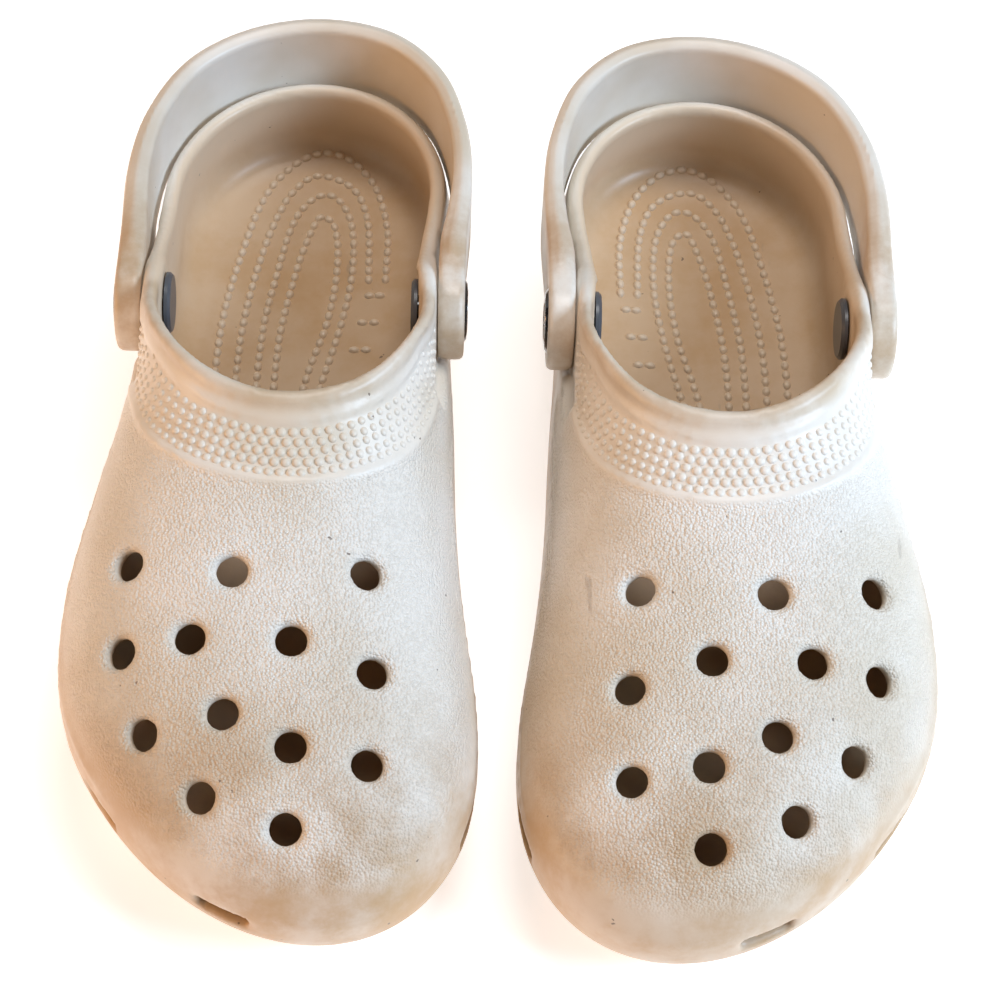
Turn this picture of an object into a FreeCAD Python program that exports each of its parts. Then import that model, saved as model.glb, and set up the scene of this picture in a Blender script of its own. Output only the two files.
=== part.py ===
"""A pair of moulded foam garden clogs with pivoting heel straps (millimetres).

Each clog is one hollow moulding, a heel strap that swings on two rivets, and at each rivet a cap,
a badge set into the cap and an inner stud. The right clog is built first; the left one mirrors it.
+Z is up, the toes point along -Y, and the origin is under the middle of the pair on the ground.
"""
import FreeCAD, Part
import math
import os
import Sketcher

V = FreeCAD.Vector
doc = FreeCAD.newDocument("garden_clogs")

# ---------------------------------------------------------------- driving dimensions
SIZES = {
    "clog_length": 266.0,        # outer length of one moulding
    "bumper_height": 26.0,       # height of the widest line round the foot
    "sole_tuck": 8.0,            # how far the tread lies inside the widest line
    "skin": 4.6,                 # wall thickness of the upper
    "toe_round": 74.0,           # length over which the toe closes
    "heel_round": 48.0,          # length over which the heel closes
    "heel_lean": 14.0,           # forward lean of the heel wall, 60 above the bumper
    "collar_lean": 3.0,          # shift of the foot opening towards the lateral side, 60 above the bumper
    "collar_pinch": 2.0,         # narrowing of each side there
    "throat_centre": 27.0,       # middle of the oval opening, along the clog
    "throat_length": 36.0,       # half length of the oval
    "throat_width": 34.5,        # half width of the oval
    "vent_diameter": 8.0,
    "port_length": 15.0,
    "port_width": 4.8,
    "groove_width": 2.2,
    "groove_depth": 1.6,
    "groove_span": 70.0,
    "arch_depth": 2.6,           # relief of the sole under the arch
    "arch_half": 32.0,           # half of its length along the clog
    "arch_middle": 14.0,
    "pivot_back": 38.0,          # rivet axis: distance behind the clog's middle
    "pivot_high": 64.0,          # and height
    "seat_half": 40.0,           # half distance between the two rivet seats
    "seat_radius": 30.0,         # the strap sweeps this much of the wall
    "seat_ledge": 49.5,          # lowest height of the seat
    "seat_step": 56.5,           # the seat stops here ahead of the rivet
    "backing_half": 36.0,        # half distance between the inner faces of the wall behind the strap's ends
    "backing_radius": 15.5,
    "boss_radius": 11.0,
    "boss_wall": 5.2,            # wall between the seat and the inner face of the boss
    "rub_gap": 0.3,              # gap between faces that slide past each other
    "stem_radius": 4.0,
    "running_gap": 0.05,         # radial clearance of the stem in the moulding
    "strap_end": 7.3,            # thickness of the strap at the rivets
    "strap_end_radius": 13.5,
    "strap_top": 78.0,           # top edge of the strap behind the heel
    "strap_foot": 52.0,          # bottom edge there
    "strap_back": 136.6,         # rearmost face of the strap
    "cap_radius": 9.2,
    "cap_sunk": 1.9,             # depth of the cap's recess in the strap
    "cap_proud": 0.6,            # how far the cap stands out of the strap
    "badge_radius": 6.8,
    "badge_thick": 1.0,
    "badge_proud": 0.2,
    "stud_radius": 8.5,
    "stud_thick": 1.7,
    "post_radius": 1.9,
    "post_length": 6.5,
    "clog_apart": 58.9,          # each clog's middle line from the middle of the pair
    "clog_shift": -1.8,          # moves the pair so that the origin is under its middle
    "stagger": 2.8,              # how far the left clog stands ahead of the right one
}

sheet = doc.addObject("Spreadsheet::Sheet", "sizes")
for row, (alias, value) in enumerate(SIZES.items(), start=1):
    sheet.set(f"A{row}", alias)
    sheet.set(f"B{row}", str(value))
    sheet.setAlias(f"B{row}", alias)
doc.recompute()


def size(alias):
    """Read one driving dimension back from the sheet."""
    return float(sheet.get(alias))


def bind(thing, **expressions):
    """Bind properties of an object to formulas; a bare word in a formula is a cell of the sheet."""
    for prop, formula in expressions.items():
        for alias in sorted(SIZES, key=len, reverse=True):
            formula = formula.replace(f"<{alias}>", f"<<sizes>>.{alias}")
        thing.setExpression(prop, formula)
    return thing


# ---------------------------------------------------------------- form of the foot
# Stations along the clog, toe at the negative end: (y, value)
SPINE = [(-133, 13), (-105, 6.5), (-75, -0.5), (-45, -3.5), (-15, -2.5), (20, 0.5), (60, 1.3), (100, 2.7), (133, 4.4)]
HALF_WIDTH = [(-133, 53.5), (-100, 54.5), (-70, 55), (-45, 53.5), (-15, 49.5), (20, 45), (60, 42.3), (100, 42.3),
              (133, 42)]
RIDGE = [(-133, 29), (-127, 41.5), (-118, 49), (-105, 54.5), (-85, 60.5), (-60, 67.5), (-35, 75.5), (-12, 85.5),
         (0, 93), (12, 105), (28, 128), (48, 148), (133, 148)]
# Side view: footbed, underside and rim of the opening, as (y, z)
FOOTBED = [(-150, 31), (-128, 21), (-105, 15.5), (-75, 14), (-40, 17), (0, 24), (45, 28), (90, 29.5), (118, 32),
           (150, 40)]
UNDERSIDE = [(-150, 18), (-133, 10), (-116, 4), (-98, 0.8), (-85, 0), (104, 0), (118, 1), (133, 5), (150, 12)]
RIM = [(-16, 97), (0, 91.5), (15, 86.5), (30, 80.5), (43, 76), (58, 68.5), (78, 61.5), (100, 59.5), (115, 60),
       (127, 61), (150, 62)]
CROWN = 2.3                      # exponent of the rounded cross-section
OUTLINE_POINTS = 36


def along(table, y):
    """Smooth value of a station table at y (cubic Hermite with averaged slopes)."""
    y = min(max(y, table[0][0]), table[-1][0])
    n = len(table)
    slopes = []
    for k in range(n):
        a, b = table[max(k - 1, 0)], table[min(k + 1, n - 1)]
        slopes.append((b[1] - a[1]) / (b[0] - a[0]))
    k = max(i for i in range(n - 1) if table[i][0] <= y)
    step = table[k + 1][0] - table[k][0]
    u = (y - table[k][0]) / step
    return ((2 * u**3 - 3 * u**2 + 1) * table[k][1] + (u**3 - 2 * u**2 + u) * step * slopes[k]
            + (3 * u**2 - 2 * u**3) * table[k + 1][1] + (u**3 - u**2) * step * slopes[k + 1])


def plan_half(y, skin):
    """Half width of the widest line at y, for a form that lies `skin` inside the outer one."""
    end = size("clog_length") / 2
    toe = (size("toe_round") - end - y) / size("toe_round")
    heel = (y - end + size("heel_round")) / size("heel_round")
    close = math.sqrt(1 - min(max(toe, 0), 1) ** 2.3) * math.sqrt(1 - min(max(heel, 0), 1) ** 2.2)
    return (along(HALF_WIDTH, y) - skin) * close


def crown_height(x, y):
    """Height of the outer form above (x, y)."""
    low = size("bumper_height")
    across = min(abs(x - along(SPINE, y)) / plan_half(y, 0), 1)
    return low + (along(RIDGE, y) - low) * (1 - across**CROWN) ** (1 / CROWN)


def first_station(z, skin):
    """Station where the ridge of the form rises through height z."""
    low, high = -size("clog_length") / 2, 60.0
    if along(RIDGE, low) - skin >= z:
        return low
    for _ in range(40):
        middle = (low + high) / 2
        if along(RIDGE, middle) - skin < z:
            low = middle
        else:
            high = middle
    return low


def outline(z, skin=0.0):
    """Closed outline of the form at height z, `skin` inside the outer form."""
    end = size("clog_length") / 2
    low = size("bumper_height")
    tuck = size("sole_tuck") * (max(low - z, 0) / low) ** 2
    climb = max(z - low - 4, 0) / 60
    lean = size("heel_lean") * climb**1.5
    first = first_station(max(z, low), skin)
    left, right = [], []
    for k in range(OUTLINE_POINTS // 2 + 1):
        station = (first + end) / 2 + (end - first) / 2 * math.cos(2 * math.pi * k / OUTLINE_POINTS)
        behind = max((station - 20) / (end - 20), 0)
        y = station * (end - skin - 1.2 * tuck) / end + 0.4 * tuck - lean * behind**1.5
        rise = min(max((z - low) / (along(RIDGE, station) - skin - low), 0), 1)
        inward = climb * min(max((station - 10) / 40, 0), 1)
        half = plan_half(station, skin) * (1 - rise**CROWN) ** (1 / CROWN) * (1 - tuck / 55)
        half = max(half - size("collar_pinch") * inward * half / 40, 0)
        middle = along(SPINE, station) - size("collar_lean") * inward
        left.append(V(middle - half, y, z))
        right.append(V(middle + half, y, z))
    curve = Part.BSplineCurve()
    curve.interpolate(Points=left + right[-2:0:-1], PeriodicFlag=True)
    return Part.Wire([curve.toShape()])


def feature(name, shape):
    """A drawn shape (outline or profile) that other objects are built on."""
    drawn = doc.addObject("Part::Feature", name)
    drawn.Shape = shape
    return drawn


def lofted(name, heights, skin=0.0):
    """Solid through the outlines at the given heights."""
    loft = doc.addObject("Part::Loft", name)
    loft.Sections = [feature(f"{name}_{k}", outline(z, skin)) for k, z in enumerate(heights)]
    loft.Solid = True
    return loft


def side_prism(name, curve, top):
    """Solid right across the clog, from a side-view curve (y, z) up to a flat top."""
    line = Part.BSplineCurve()
    line.interpolate([V(-80, y, z) for y, z in curve])
    first, last = V(-80, *curve[0]), V(-80, *curve[-1])
    upper_last, upper_first = V(-80, last.y, top), V(-80, first.y, top)
    edges = [line.toShape(), Part.makeLine(last, upper_last), Part.makeLine(upper_last, upper_first),
             Part.makeLine(upper_first, first)]
    prism = doc.addObject("Part::Extrusion", name)
    prism.Base = feature(f"{name}_profile", Part.Wire(edges))
    prism.DirMode = "Custom"
    prism.Dir = V(1, 0, 0)
    prism.LengthFwd = 160
    prism.Solid = True
    return prism


def boolean(kind, name, *shapes):
    """Part boolean of two or more objects."""
    result = doc.addObject(f"Part::{kind}", name)
    if kind == "Cut":
        result.Base, result.Tool = shapes
    else:
        result.Shapes = list(shapes)
    return result


def rod(name, start, direction, radius, length):
    """Cylinder from a point along a direction; radius and length are formulas."""
    cylinder = doc.addObject("Part::Cylinder", name)
    cylinder.Placement = FreeCAD.Placement(start, FreeCAD.Rotation(V(0, 0, 1), direction))
    return bind(cylinder, Radius=radius, Height=length)


# ---------------------------------------------------------------- the moulding
OUTER_HEIGHTS = [0, 6, 14, 26, 34, 42, 50, 58, 66, 74, 82, 90, 98]
INNER_HEIGHTS = [8, 17, 26, 34, 42, 50, 58, 66, 74, 82, 90, 98]
# Vent holes over the toes, as (x, y) in the right clog
VENTS = [(-37.5, -48.5), (-10, -53.5), (24.5, -51), (-38, -71), (-20, -70), (6, -70.5), (27, -76.5),
         (-31, -92), (-10.5, -89), (7, -97), (26.5, -100), (-15.5, -108.5), (6.5, -116.5)]
# Drain ports at the edge of the footbed, as (station y, +1 medial or -1 lateral)
PORTS = [(-127.5, -1), (-98, -1), (-70, -1), (-99, 1), (-70, 1)]
PORT_HEIGHT = 25.0
FORE_GROOVES = [-28 - 9 * k for k in range(7)]
HEEL_GROOVES = [57, 66, 97, 106]


def vent_holes():
    """Round holes square to the surface of the upper."""
    holes = []
    for k, (x, y) in enumerate(VENTS):
        z = crown_height(x, y)
        slope_x = crown_height(x + 0.5, y) - crown_height(x - 0.5, y)
        slope_y = crown_height(x, y + 0.5) - crown_height(x, y - 0.5)
        inward = V(slope_x, slope_y, -1).normalize()
        holes.append(rod(f"vent_{k}", V(x, y, z) - inward * 6, inward, "<vent_diameter> / 2", "17"))
    return holes


def drain_ports():
    """Flat slots through the wall, square to it in plan."""
    slots = []
    for k, (y, hand) in enumerate(PORTS):
        wall = V(along(SPINE, y) + hand * plan_half(y, 0), y, PORT_HEIGHT)
        ahead = V(along(SPINE, y + 1) + hand * plan_half(y + 1, 0), y + 1, PORT_HEIGHT)
        behind = V(along(SPINE, y - 1) + hand * plan_half(y - 1, 0), y - 1, PORT_HEIGHT)
        run = (ahead - behind).normalize()
        inward = V(0, 0, 1).cross(run) * hand
        box = doc.addObject("Part::Box", f"port_{k}")
        box.Placement = FreeCAD.Placement(
            wall - inward * 6 - run * (size("port_length") / 2) - V(0, 0, size("port_width") / 2),
            FreeCAD.Rotation(run, V(0, 0, 1).cross(run), V(0, 0, 1), "XZY"))
        if hand < 0:
            box.Placement.Base = box.Placement.Base + inward * 18
        bind(box, Length="<port_length>", Width="18", Height="<port_width>")
        slots.append(box)
    return slots


def tread_grooves():
    """Shallow cross grooves under the ball of the foot and the heel."""
    grooves = []
    for k, y in enumerate(FORE_GROOVES + HEEL_GROOVES):
        groove = doc.addObject("Part::Box", f"groove_{k}")
        groove.Placement.Base = V(along(SPINE, y) - size("groove_span") / 2 + max(y, 0) / 20, y, -5)
        bind(groove, Length="<groove_span> - 8", Width="<groove_width>", Height="5 + <groove_depth>")
        grooves.append(groove)
    return grooves


def arch_relief():
    """Long shallow hollow across the sole under the arch."""
    half, depth = size("arch_half"), size("arch_depth")
    radius = (half**2 + depth**2) / (2 * depth)
    return rod("arch", V(-80, size("arch_middle"), depth - radius), V(1, 0, 0),
               "(<arch_half>^2 + <arch_depth>^2) / (2 * <arch_depth>)", "160")


def throat():
    """Everything taken away above the rim: an oval over the instep and the space above the side rim."""
    oval = doc.addObject("Part::Ellipse", "throat_oval")
    oval.Placement = FreeCAD.Placement(V(1, size("throat_centre"), 60), FreeCAD.Rotation(V(0, 0, 1), 90))
    bind(oval, MajorRadius="<throat_length>", MinorRadius="<throat_width>")
    shaft = doc.addObject("Part::Extrusion", "throat_shaft")
    shaft.Base = oval
    shaft.DirMode = "Custom"
    shaft.Dir = V(0, 0, 1)
    shaft.LengthFwd = 60
    shaft.Solid = True
    return [shaft, side_prism("above_rim", RIM, 120)]


def pivot(x=0.0):
    return V(x, size("pivot_back"), size("pivot_high"))


def clog_body():
    """The one-piece moulding of the right clog."""
    shell = boolean("MultiCommon", "outer", lofted("last", OUTER_HEIGHTS), side_prism("sole", UNDERSIDE, 120))
    cavity = boolean("MultiCommon", "cavity", lofted("foot_space", INNER_HEIGHTS, size("skin")),
                     side_prism("footbed", FOOTBED, 120))
    hollow = boolean("Cut", "hollow", shell, cavity)
    bosses, cutters = [], []
    for hand in (-1, 1):
        out = V(hand, 0, 0)
        inner = size("seat_half") - size("boss_wall")
        bosses.append(rod(f"backing_{hand + 1}", pivot(hand * size("backing_half")), out, "<backing_radius>",
                          "<seat_half> - <backing_half>"))
        bosses.append(rod(f"boss_{hand + 1}", pivot(hand * inner), out, "<boss_radius>", "<boss_wall>"))
        for k, (radius, front, floor) in enumerate([
                ("<strap_end_radius> + 1.2", -60, size("seat_ledge") - 8),
                ("<seat_radius>", size("pivot_back") - 4, size("seat_ledge")),
                ("<seat_radius>", -60, size("seat_step"))]):
            swept = rod(f"swept_{hand + 1}_{k}", pivot(hand * size("seat_half")), out, radius, "15")
            room = doc.addObject("Part::Box", f"room_{hand + 1}_{k}")
            room.Placement.Base = V(hand * 60 - 30, front, floor)
            bind(room, Length="60", Width="200", Height="80")
            cutters.append(boolean("MultiCommon", f"seat_{hand + 1}_{k}", swept, room))
        cutters.append(rod(f"bore_{hand + 1}", pivot(hand * 20), out, "<stem_radius> + <running_gap>", "40"))
        cutters.append(rod(f"inside_{hand + 1}", pivot(hand * inner), out * -1, "<boss_radius>", "4"))
    solid = boolean("MultiFuse", "bossed", hollow, *bosses)
    solid = boolean("Cut", "opened", solid, boolean("MultiFuse", "foot_opening", *throat()))
    solid = boolean("Cut", "vented", solid, boolean("MultiFuse", "vents", *vent_holes()))
    solid = boolean("Cut", "drained", solid, boolean("MultiFuse", "ports", *drain_ports()))
    solid = boolean("Cut", "treaded", solid, boolean("MultiFuse", "tread", *tread_grooves(), arch_relief()))
    return boolean("Cut", "right_clog_body", solid, boolean("MultiFuse", "pivots", *cutters))


# ---------------------------------------------------------------- the heel strap
# Plan view of the strap behind its straight ends, lateral side to medial side: (x, y)
STRAP_OUTER = [(-47.6, 52), (-47.8, 78), (-44.1, 99), (-33.9, 119), (-16.5, 132), (4.9, 136.6), (25.5, 131.5),
               (39.8, 117), (46.8, 97), (48.8, 78), (47.6, 52)]
STRAP_INNER = [(-40.3, 52), (-41.2, 66), (-41.4, 80), (-38.8, 97), (-30.1, 114.5), (-14.5, 126.6), (4.9, 131), (22.5, 126.6),
               (35.2, 113.8), (41.4, 97), (43.2, 80), (42.3, 66), (40.3, 52)]
STRAP_TIP = 20.0                 # where the straight ends are cut, ahead of the rounded tips


def u_curve(points, height):
    """Edges of a U in plan: straight from the tip, round the heel, straight back to the other tip."""
    bend = Part.BSplineCurve()
    bend.interpolate(Points=[V(x, y, height) for x, y in points],
                     InitialTangent=V(0, 1, 0), FinalTangent=V(0, -1, 0))
    ends = [V(points[k][0], STRAP_TIP, height) for k in (0, -1)]
    return ends, [Part.makeLine(ends[0], V(*points[0], height)), bend.toShape(),
                  Part.makeLine(V(*points[-1], height), ends[1])]


def strap_plan(height):
    """Flat U-shaped outline between the strap's outer and inner curves."""
    outer_ends, outer = u_curve(STRAP_OUTER, height)
    inner_ends, inner = u_curve(STRAP_INNER, height)
    tips = [Part.makeLine(a, b) for a, b in zip(outer_ends, inner_ends)]
    return Part.Wire(Part.__sortEdges__(outer + inner + tips))


def heel_strap():
    """Band round the heel: the plan ring cut to the strap's side view, with rivet holes."""
    ring = doc.addObject("Part::Extrusion", "strap_ring")
    ring.Base = feature("strap_plan", strap_plan(40))
    ring.DirMode = "Custom"
    ring.Dir = V(0, 0, 1)
    ring.LengthFwd = 80
    ring.Solid = True
    radius, back = size("strap_end_radius"), size("strap_back") + 5
    axis = pivot(-80)
    top, foot = V(-80, back, size("strap_top") + 0.8), V(-80, back, size("strap_foot") + 0.8)
    upper, lower = axis + V(0, 0, radius), axis - V(0, 0, radius)
    tip = Part.Arc(upper, axis - V(0, radius, 0), lower).toShape()
    edges = [tip, Part.makeLine(lower, foot), Part.makeLine(foot, top), Part.makeLine(top, upper)]
    side = doc.addObject("Part::Extrusion", "strap_side")
    side.Base = feature("strap_profile", Part.Wire(edges))
    side.DirMode = "Custom"
    side.Dir = V(1, 0, 0)
    side.LengthFwd = 160
    side.Solid = True
    band = boolean("MultiCommon", "band", ring, side)
    holes = []
    for hand in (-1, 1):
        out = V(hand, 0, 0)
        face = size("seat_half") + size("rub_gap") + size("strap_end")
        holes.append(rod(f"strap_hole_{hand + 1}", pivot(hand * 30), out, "<stem_radius> + <running_gap>", "30"))
        holes.append(rod(f"cap_recess_{hand + 1}", pivot(hand * (face - size("cap_sunk"))), out,
                         "<cap_radius> + <running_gap>", "10"))
    return boolean("Cut", "right_heel_strap", band, boolean("MultiFuse", "strap_holes", *holes))


# ---------------------------------------------------------------- rivets, turned about their axis
# Profiles as (distance out from the middle plane of the clog, radius), both formulas of the sheet.
CAP_BASE = "<seat_half> + <rub_gap> + <strap_end> - <cap_sunk>"
CAP_FACE = "<seat_half> + <rub_gap> + <strap_end> + <cap_proud>"
STUD_FACE = "<seat_half> - <boss_wall> - <rub_gap>"
PROFILES = {
    "rivet_cap": [
        (STUD_FACE, "<post_radius> + 0.1"), (STUD_FACE, "<stem_radius>"), (CAP_BASE, "<stem_radius>"),
        (CAP_BASE, "<cap_radius>"), (f"{CAP_FACE} - 0.9", "<cap_radius>"), (CAP_FACE, "<cap_radius> - 1.4"),
        (CAP_FACE, "<badge_radius>"), (f"{CAP_FACE} - <badge_thick> + <badge_proud>", "<badge_radius>"),
        (f"{CAP_FACE} - <badge_thick> + <badge_proud>", "0"), (f"{STUD_FACE} + <post_length> + 0.2", "0"),
        (f"{STUD_FACE} + <post_length> + 0.2", "<post_radius> + 0.1")],
    "rivet_badge": [
        (f"{CAP_FACE} - <badge_thick> + <badge_proud>", "0"),
        (f"{CAP_FACE} - <badge_thick> + <badge_proud>", "<badge_radius>"),
        (f"{CAP_FACE} - 0.1", "<badge_radius>"), (f"{CAP_FACE} + <badge_proud>", "<badge_radius> - 0.6"),
        (f"{CAP_FACE} + <badge_proud>", "0")],
    "rivet_stud": [
        (f"{STUD_FACE} - <stud_thick>", "0"), (f"{STUD_FACE} - <stud_thick>", "<stud_radius> - 0.8"),
        (f"{STUD_FACE} - <stud_thick> + 0.8", "<stud_radius>"), (STUD_FACE, "<stud_radius>"),
        (STUD_FACE, "<post_radius>"), (f"{STUD_FACE} + <post_length>", "<post_radius>"),
        (f"{STUD_FACE} + <post_length>", "0")],
}


def turned(name, profile):
    """PartDesign body: a closed profile turned about the X axis."""
    body = doc.addObject("PartDesign::Body", name)
    sketch = body.newObject("Sketcher::SketchObject", f"{name}_profile")
    plane = next(f for f in body.Origin.OriginFeatures if f.Role == "XY_Plane")
    sketch.AttachmentSupport = (plane, "")
    sketch.MapMode = "FlatFace"
    count = len(profile)
    corners = [V(*(evaluate(formula) for formula in pair), 0) for pair in profile]
    for k in range(count):
        sketch.addGeometry(Part.LineSegment(corners[k], corners[(k + 1) % count]), False)
    for k in range(count):
        sketch.addConstraint(Sketcher.Constraint("Coincident", k, 2, (k + 1) % count, 1))
    for k, (across, radius) in enumerate(profile):
        place(sketch, "DistanceX", k, corners[k].x, across)
        if radius == "0":
            sketch.addConstraint(Sketcher.Constraint("PointOnObject", k, 1, -1))
        else:
            place(sketch, "DistanceY", k, corners[k].y, radius)
    spin = body.newObject("PartDesign::Revolution", f"{name}_turn")
    spin.Profile = sketch
    spin.ReferenceAxis = (sketch, ["H_Axis"])
    spin.Angle = 360
    return body


def evaluate(formula):
    """Number that a formula of the sheet has now."""
    for alias in sorted(SIZES, key=len, reverse=True):
        formula = formula.replace(f"<{alias}>", str(size(alias)))
    total, sign = 0.0, 1
    for word in formula.split():
        if word in "+-":
            sign = 1 if word == "+" else -1
        else:
            total += sign * float(word)
    return total


def place(sketch, kind, corner, value, formula):
    """Fix one coordinate of a profile corner from the origin and bind it to the sheet."""
    index = sketch.addConstraint(Sketcher.Constraint(kind, -1, 1, corner, 1, value))
    bind(sketch, **{f"Constraints[{index}]": formula})


# ---------------------------------------------------------------- the pair
def put(thing, x, y, turn=0.0):
    thing.Placement = FreeCAD.Placement(V(x, y, 0), FreeCAD.Rotation(V(0, 0, 1), turn))


nodes = []
right_y = size("clog_shift") + size("stagger") / 2
left_y = size("clog_shift") - size("stagger") / 2
apart = size("clog_apart")

for build in (clog_body, heel_strap):
    made = build()
    put(made, -apart, right_y)
    mirror = doc.addObject("Part::Mirroring", made.Name.replace("right", "left"))
    mirror.Source = made
    mirror.Normal = V(1, 0, 0)
    put(mirror, 0, left_y - right_y)
    nodes += [made, mirror]

for clog, x, shift in (("right", -apart, right_y), ("left", apart, left_y)):
    toward = 1 if clog == "right" else -1
    for edge, hand in (("medial", toward), ("lateral", -toward)):
        for kind, profile in PROFILES.items():
            rivet = turned(f"{clog}_{edge}_{kind}", profile)
            offset = V(x, shift, 0) + pivot()
            rivet.Placement = FreeCAD.Placement(offset, FreeCAD.Rotation(V(0, 0, 1), 0 if hand > 0 else 180))
            nodes.append(rivet)

doc.recompute()

for thing in doc.Objects:
    if {"Invalid", "Error"} & set(thing.State):
        raise RuntimeError(f"{thing.Name} failed: {thing.State}")
os.makedirs("parts", exist_ok=True)
for node in nodes:
    node.Label = node.Name
    shape = node.Shape
    if shape.isNull() or not shape.isValid() or len(shape.Solids) != 1:
        raise RuntimeError(f"{node.Name}: shape is null, invalid or in {len(shape.Solids)} pieces")
    shape.exportStep(f"parts/{node.Name}.step")
    box = shape.BoundBox
    print(f"{node.Name}: {shape.Volume / 1000:.1f} cm3, x {box.XMin:.1f}..{box.XMax:.1f}, "
          f"y {box.YMin:.1f}..{box.YMax:.1f}, z {box.ZMin:.1f}..{box.ZMax:.1f}")
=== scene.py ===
"""A pair of moulded foam garden clogs with swinging heel straps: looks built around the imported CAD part."""
import math

import bpy
import numpy as np
import openvdb as vdb
from mathutils import Matrix, Vector


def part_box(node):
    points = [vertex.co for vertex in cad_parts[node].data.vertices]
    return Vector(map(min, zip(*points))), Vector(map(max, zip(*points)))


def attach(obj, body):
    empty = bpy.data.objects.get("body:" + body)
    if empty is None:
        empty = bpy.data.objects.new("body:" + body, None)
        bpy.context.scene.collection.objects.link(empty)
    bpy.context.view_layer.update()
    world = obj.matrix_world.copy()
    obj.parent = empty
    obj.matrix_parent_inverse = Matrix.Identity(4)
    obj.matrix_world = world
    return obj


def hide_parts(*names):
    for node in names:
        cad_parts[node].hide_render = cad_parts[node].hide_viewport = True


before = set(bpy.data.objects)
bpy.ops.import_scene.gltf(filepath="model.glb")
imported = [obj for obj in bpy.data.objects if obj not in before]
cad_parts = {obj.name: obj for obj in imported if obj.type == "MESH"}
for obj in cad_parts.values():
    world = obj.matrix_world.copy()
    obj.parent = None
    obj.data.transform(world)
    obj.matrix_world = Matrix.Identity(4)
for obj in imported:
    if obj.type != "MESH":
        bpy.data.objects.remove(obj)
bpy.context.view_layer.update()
MM = 0.001

# ------------------------------------------------ form of the right clog, in its own millimetres
# x towards the inner ankle, y towards the heel, z up; tables are (y, value)
SPINE = [(-133, 13), (-105, 6.5), (-75, -0.5), (-45, -3.5), (-15, -2.5), (20, 0.5), (60, 1.3), (100, 2.7),
         (133, 4.4)]
HALF_WIDTH = [(-133, 53.5), (-100, 54.5), (-70, 55), (-45, 53.5), (-15, 49.5), (20, 45), (60, 42.3), (100, 42.3),
              (133, 42)]
RIDGE = [(-133, 29), (-127, 41.5), (-118, 49), (-105, 54.5), (-85, 60.5), (-60, 67.5), (-35, 75.5), (-12, 85.5),
         (0, 93), (12, 105), (28, 128), (48, 148), (133, 148)]
FOOTBED = [(-150, 31), (-128, 21), (-105, 15.5), (-75, 14), (-40, 17), (0, 24), (45, 28), (90, 29.5), (118, 32),
           (150, 40)]
UNDERSIDE = [(-150, 18), (-133, 10), (-116, 4), (-98, 0.8), (-85, 0), (104, 0), (118, 1), (133, 5), (150, 12)]
RIM = [(-16, 97), (0, 91.5), (15, 86.5), (30, 80.5), (43, 76), (58, 68.5), (78, 61.5), (100, 59.5), (115, 60),
       (127, 61), (150, 62)]
VENTS = [(-37.5, -48.5), (-10, -53.5), (24.5, -51), (-38, -71), (-20, -70), (6, -70.5), (27, -76.5),
         (-31, -92), (-10.5, -89), (7, -97), (26.5, -100), (-15.5, -108.5), (6.5, -116.5)]
PORTS = [(-127.5, -1), (-98, -1), (-70, -1), (-99, 1), (-70, 1)]
GROOVES = [-28, -37, -46, -55, -64, -73, -82, 57, 66, 97, 106]
FLANK_LINE = [(-110, 33), (-60, 39), (-20, 45), (20, 50), (40, 51)]
LOOPS = [[(-24, 22), (-23, 60), (-19, 86), (-13, 109), (-5, 120), (4, 124), (13, 121), (20, 112), (24, 96),
          (24, 78)],
         [(-18, 20), (-17, 58), (-13, 86), (-7, 107), (0, 116), (7, 116), (14, 111), (18, 99), (19, 78)],
         [(-12, 18), (-11, 58), (-8, 80), (-4, 100), (2, 109), (8, 109), (13, 99), (14, 80), (11, 58), (6, 36),
          (3, 18)],
         [(-7, 18), (-6, 56), (-3, 78), (0, 92), (4, 102), (8, 98), (9.5, 82), (7.5, 62), (3, 44), (-2, 18)]]
DASHES = [(18, 72, 6), (16, 62, 7), (14, 52, 7)]        # short rows on the medial side: start x, y, length
CROWN = 2.3                      # exponent that rounds the cross-section above the widest line
END = 133.0                      # half the length of the clog
BUMPER = 26.0                    # height of the widest line
SKIN = 4.6                       # wall of the upper
PIVOT = (38.0, 64.0)             # rivet axis: (y, z)
SEAT, BOSS = 40.0, 34.8          # |x| of the strap seat and of the inner face behind it
BOSS_RADIUS = 11.0
BORE_RADIUS = 4.05
BACKING = (36, 15.5)             # thicker wall behind the seat: |x| where it starts, and its radius
SEAT_END = 14.7                  # radius of the seat round the strap's end
SEAT_SWEEP = 30                  # radius that the swinging strap needs
SEAT_FRONT = 34                  # y behind which the seat reaches down to its ledge
SEAT_LEDGE, SEAT_STEP = 49.5, 56.5   # floor of the seat behind and ahead of SEAT_FRONT
THROAT = (1.0, 27.0, 34.5, 36.0)   # centre x, y and half axes of the opening over the instep
VENT_RADIUS = 4.0
PORT_HEIGHT = 25.0
PORT_HALF, PORT_CORNER = (6.2, 1.1), 1.3   # straight half sides of a drain port, and its corner radius
STRAP_END = 13.5                 # radius of the strap's rounded ends
STRAP_TOP, STRAP_FOOT = 78.8, 52.8   # heights of the strap's edges behind the heel
STRAP_BACK = 136.6               # y of the strap's outer face behind the heel
BUTTON_RADIUS, BUTTON_DEPTH = 9.35, 1.9   # recess for the rivet's button
STRAP_THICK = 7.3                # at the rivets
STRAP_PLAY = 0.3                 # between strap and seat
VOXEL, STRAP_VOXEL = 1.26, 0.75
APART = 58.9                     # each clog's middle from the pair's middle, in x
SHIFT = -1.8                     # of both clogs, in y
STAGGER = 2.8                    # how much further ahead the left clog stands


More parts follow.
